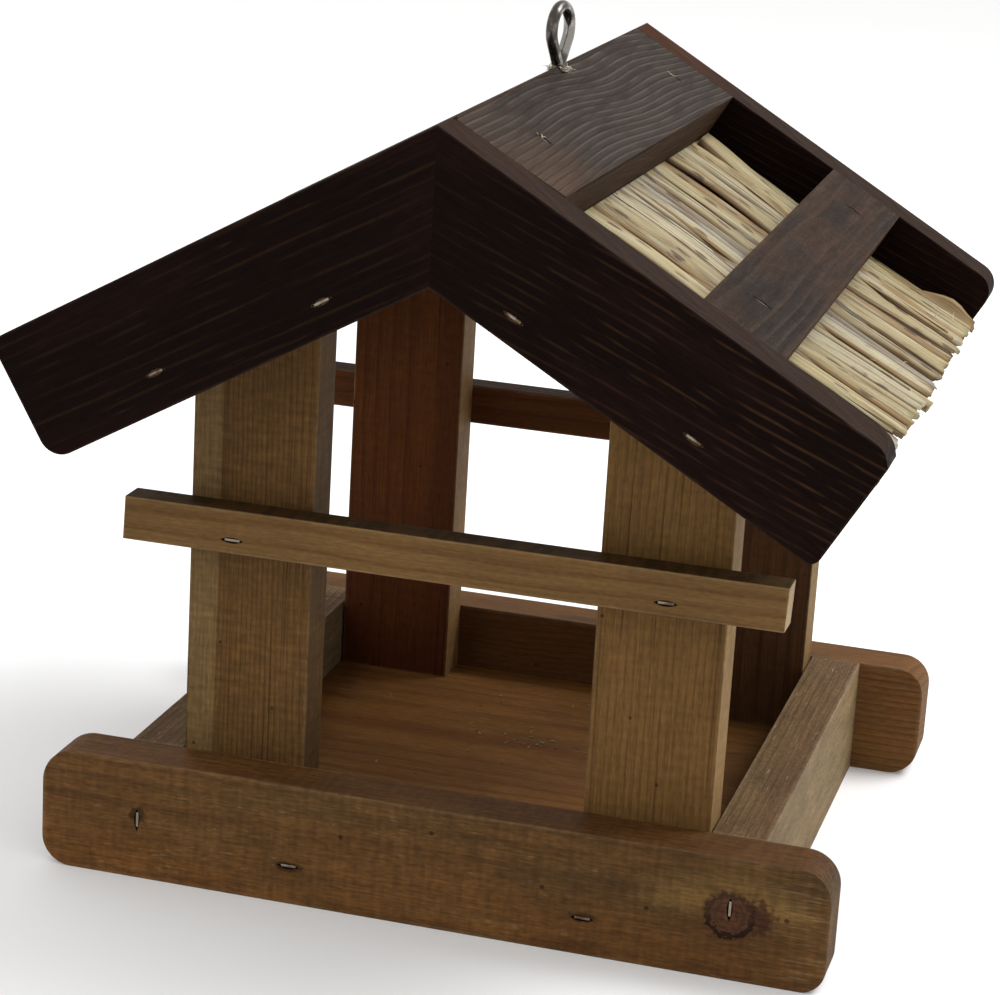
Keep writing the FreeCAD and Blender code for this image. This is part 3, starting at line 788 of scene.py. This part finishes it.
def left_straws():
    """The hidden slope has a layer like the right one, laid by chance."""
    chance = random.Random(7)
    straws = []
    low = -126.0
    while low < 116.0:
        width = min(chance.uniform(8.0, 21.0), 126.0 - low)
        tone = chance.choice(("straw", "straw", "straw", "cream", "tan", "grey", "lilac"))
        middle = low + width / 2
        straws.append(Straw(middle, middle + chance.uniform(-1.5, 1.5), width, chance.uniform(15.2, 16.8),
                            tone, end=EAVE + chance.uniform(-2.5, 1.0), roll=chance.uniform(-0.8, 0.8),
                            pinch=chance.uniform(0.0, 0.18)))
        low += width + chance.uniform(0.0, 1.2)
    return straws


def slivers(seed):
    """Narrow split reeds and shreds of leaf, which lie on the broad ones and between them."""
    chance = random.Random(seed)
    straws = []
    for _ in range(12):
        y = chance.uniform(-116.0, 116.0)
        width = chance.uniform(0.9, 3.2)
        start, end = chance.choice(((9.0, EAVE), (9.0, MID_SLAT[1]), (MID_SLAT[0], EAVE), (9.0, EAVE)))
        tone = chance.choice(("straw", "cream", "tan", "grey"))
        straws.append(Straw(y, y + chance.uniform(-9.0, 9.0), width, chance.uniform(15.2, 16.2), tone, 0.9,
                            start, end + chance.uniform(-9.0, 1.0), roll=chance.uniform(-0.4, 0.4)))
    return straws


def bed_straws(seed, gaps=()):
    """Thin round straws on the deck under the broad ones, away from the gaps that show the deck."""
    chance = random.Random(seed)
    straws = []
    y = -123.0
    while y < 123.0:
        width = chance.uniform(4.5, 7.5)
        if not any(low - width / 2 < y < high + width / 2 for low, high in gaps):
            tone = chance.choice(("grey", "tan", "straw"))
            straws.append(Straw(y, y + chance.uniform(-1.0, 1.0), width, chance.uniform(20.6, 22.2), tone,
                                4.5, end=EAVE + chance.uniform(-4.0, 0.0)))
        y += width + chance.uniform(-0.3, 1.2)
    return straws


def reeds():
    material = reed_material()
    layers = {
        "right": list(RIGHT_STRAWS) + slivers(11) + bed_straws(3, RIGHT_GAPS),
        "left": left_straws() + slivers(12) + bed_straws(4),
    }
    for hand, straws in layers.items():
        bm = straw_mesh()
        roof = Roof(SIDES[hand])
        for number, straw in enumerate(straws):
            straw.build(bm, roof, number + (100 if hand == "left" else 1))
        layer = add_mesh(f"{hand}_reeds", bm, material)
        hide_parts(f"{hand}_reed_layer")
    loose_fibres(material)


def straw_mesh():
    bm = bmesh.new()
    bm.verts.layers.float_vector.new("straw")
    bm.verts.layers.float_vector.new("tone")
    return bm


def add_mesh(name, bm, material):
    bmesh.ops.recalc_face_normals(bm, faces=bm.faces)
    mesh = bpy.data.meshes.new(name)
    bm.to_mesh(mesh)
    bm.free()
    mesh.polygons.foreach_set("use_smooth", [True] * len(mesh.polygons))
    mesh.materials.append(material)
    piece = bpy.data.objects.new(name, mesh)
    bpy.context.scene.collection.objects.link(piece)
    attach(piece, "feeder")
    return piece


# ---- Fibres, splinters and husks ----------------------------------------------------------


def fibre(bm, root, heading, up, length, width, lift, turn=0.0, tone="cream"):
    """A thin tapering shred from root along heading, rising by lift and turning to one side."""
    straw, colour = bm.verts.layers.float_vector["straw"], bm.verts.layers.float_vector["tone"]
    beside = up.cross(heading).normalized()
    steps = 6
    rings = []
    for i in range(steps + 1):
        share = i / steps
        middle = heading * length * share + up * lift * math.sin(0.5 * math.pi * share)
        middle += beside * turn * share * share
        reach = width / 2 * (1.0 - 0.8 * share ** 2)
        corners = (beside * reach, up * reach * 0.5, -beside * reach, -up * reach * 0.5)
        ring = [bm.verts.new(root + (middle + corner) * MM) for corner in corners]
        for vertex in ring:
            vertex[straw] = (length * share + 900.0 * wobble(*(root * 97.0)), 0.0, 0.0)
            vertex[colour] = REED_COLOURS[tone]
        rings.append(ring)
    for a, b in zip(rings, rings[1:]):
        for j in range(4):
            k = (j + 1) % 4
            bm.faces.new((a[j], a[k], b[k], b[j]))
    bm.faces.new(rings[0][::-1])
    bm.faces.new(rings[-1])


def round_about(up, angle):
    """The direction at an angle round up."""
    first = up.orthogonal().normalized()
    return first * math.cos(angle) + up.cross(first) * math.sin(angle)


def burst(bm, chance, root, up, count, length, width, spread=0.0, tone="cream"):
    """A tuft of torn fibres that lean out from a place."""
    for _ in range(count):
        heading = round_about(up, chance.uniform(0.0, 2 * math.pi))
        start = root + heading * spread * MM
        long = chance.uniform(0.5, 1.0) * length
        fibre(bm, start, heading, up, long, chance.uniform(0.6, 1.0) * width,
              chance.uniform(0.1, 0.7) * long, chance.uniform(-0.4, 0.4) * long, tone)


def loose_fibres(material):
    chance = random.Random(5)
    right, left = Roof(1), Roof(-1)

    bm = straw_mesh()
    eye_low, eye_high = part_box("screw_eye")
    y_eye = (eye_low[1] + eye_high[1]) / 2 / MM
    for roof in (right, left):
        for _ in range(34):
            down, y = chance.uniform(0.8, 3.6), y_eye + chance.uniform(-3.6, 3.6)
            burst(bm, chance, roof.point(down, y, -0.1), OUT[roof.side], 2, 3.8, 0.5, tone="torn")
    add_mesh("screw_eye_splinters", bm, material)

    bm = straw_mesh()
    for down, y in ((23.0, -86.0), (27.5, 97.0)):
        for step in (-2.4, -1.2):
            place = right.point(down + step, y + 0.6 * step, -0.1)
            burst(bm, chance, place, OUT[1], 2, 1.8, 0.8)
    add_mesh("ridge_slat_splinters", bm, material)

    bm = straw_mesh()
    for _ in range(9):
        down, y = chance.uniform(140.0, 172.0), chance.uniform(-60.0, 100.0)
        heading = round_about(OUT[1], chance.uniform(0.0, 2 * math.pi))
        length = chance.uniform(6.0, 12.0)
        fibre(bm, right.point(down, y, 14.8), heading, OUT[1], length, 0.35, 1.2,
              chance.uniform(-0.7, 0.7) * length)
    add_mesh("reed_hairs", bm, material)

    bm = straw_mesh()
    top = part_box("floor_board")[1][2]
    husks, heap = 34, 22
    for number in range(husks):
        near = number < heap
        x = chance.gauss(0.0, 15.0) if near else chance.uniform(-85.0, 85.0)
        y = chance.gauss(22.0, 9.0) if near else chance.uniform(-60.0, 85.0)
        long = chance.uniform(0.9, 2.0) if number % 6 else chance.uniform(3.0, 4.5)
        wide = 0.9 if number % 6 else 0.35
        fibre(bm, Vector((x * MM, y * MM, top + 0.2 * MM)), round_about(Z, chance.uniform(0.0, 6.3)), Z,
              long, wide, 0.3, chance.uniform(-0.6, 0.6) * long, "straw")
    add_mesh("seed_husks", bm, material)


def reed_material():
    graph = Graph("reed")
    straw = graph.node("Attribute", out=1, attribute_name="straw")
    tone = graph.node("Attribute", out=1, attribute_name="tone")
    along, across, side = (graph.node("SeparateXYZ", out=i, inputs={0: straw}) for i in range(3))
    place = graph.vector(along, across, 0.0)
    lines = graph.noise(graph.stretch(place, 0.010, 1.5, 1.0), 3.0, 0.7)
    bands = graph.noise(graph.stretch(place, 0.006, 0.5, 1.0), 1.0)
    cracks = graph.step(graph.noise(graph.stretch(place, 0.016, 1.1, 1.0), 1.0), 0.64, 0.71)
    blotch = graph.noise(graph.stretch(place, 0.035, 0.15, 1.0), 2.0)
    speckle = graph.noise(graph.stretch(place, 0.9, 1.3, 1.0), 2.0)
    colour = graph.mix(graph.mul(graph.step(blotch, 0.52, 0.66), 0.65), tone, (0.17, 0.10, 0.045))
    colour = graph.mix(graph.mul(graph.step(blotch, 0.47, 0.34), 0.5), colour, (0.50, 0.46, 0.34))
    # painted shade: the strips' edges darken, as the shade in the gaps between strips would
    rim = graph.step(graph.math("ABSOLUTE", side), 0.80, 0.98)
    colour = graph.mix(graph.mul(rim, 0.85), colour, (0.13, 0.060, 0.022))
    colour = graph.mix(graph.mul(cracks, 0.75), colour, (0.095, 0.055, 0.027))
    freckles = graph.mul(graph.step(speckle, 0.62, 0.70), graph.step(bands, 0.45, 0.6))
    colour = graph.mix(graph.mul(freckles, 0.6), colour, (0.13, 0.08, 0.045))
    knots = graph.spots(graph.stretch(place, 0.042, 0.085, 1.0), 0.17, "2D")
    knots = graph.mul(knots, graph.step(blotch, 0.42, 0.50))
    colour = graph.mix(graph.mul(knots, 0.85), colour, (0.085, 0.048, 0.028))
    shade = graph.add(graph.mul(graph.math("SUBTRACT", lines, 0.5), 1.35), 1.0)
    shade = graph.mul(shade, graph.add(graph.mul(graph.math("SUBTRACT", bands, 0.5), 0.8), 1.0))
    # REED_SHADE is painted shade that dims every reed evenly
    colour = graph.scale(colour, graph.mul(shade, REED_SHADE))
    height = graph.add(graph.add(lines, graph.mul(bands, 0.5)), graph.mul(cracks, -1.0))
    return graph.surface(colour, graph.add(graph.mul(speckle, 0.2), 0.5), height, 0.5, specular=0.25)


# ---- Everything ---------------------------------------------------------------------------


def studio_floor():
    bpy.ops.mesh.primitive_plane_add(size=12)
    plane = bpy.context.object
    plane.name = "studio_floor"
    graph = Graph("studio_floor")
    plane.data.materials.append(graph.surface((0.95, 0.96, 0.98), 0.9))


studio_floor()
floor_board()
front_rail()
back_rail()
side_rails()
posts()
cross_bars()
barge_boards()
slats()
decks()
ironwork()
reeds()
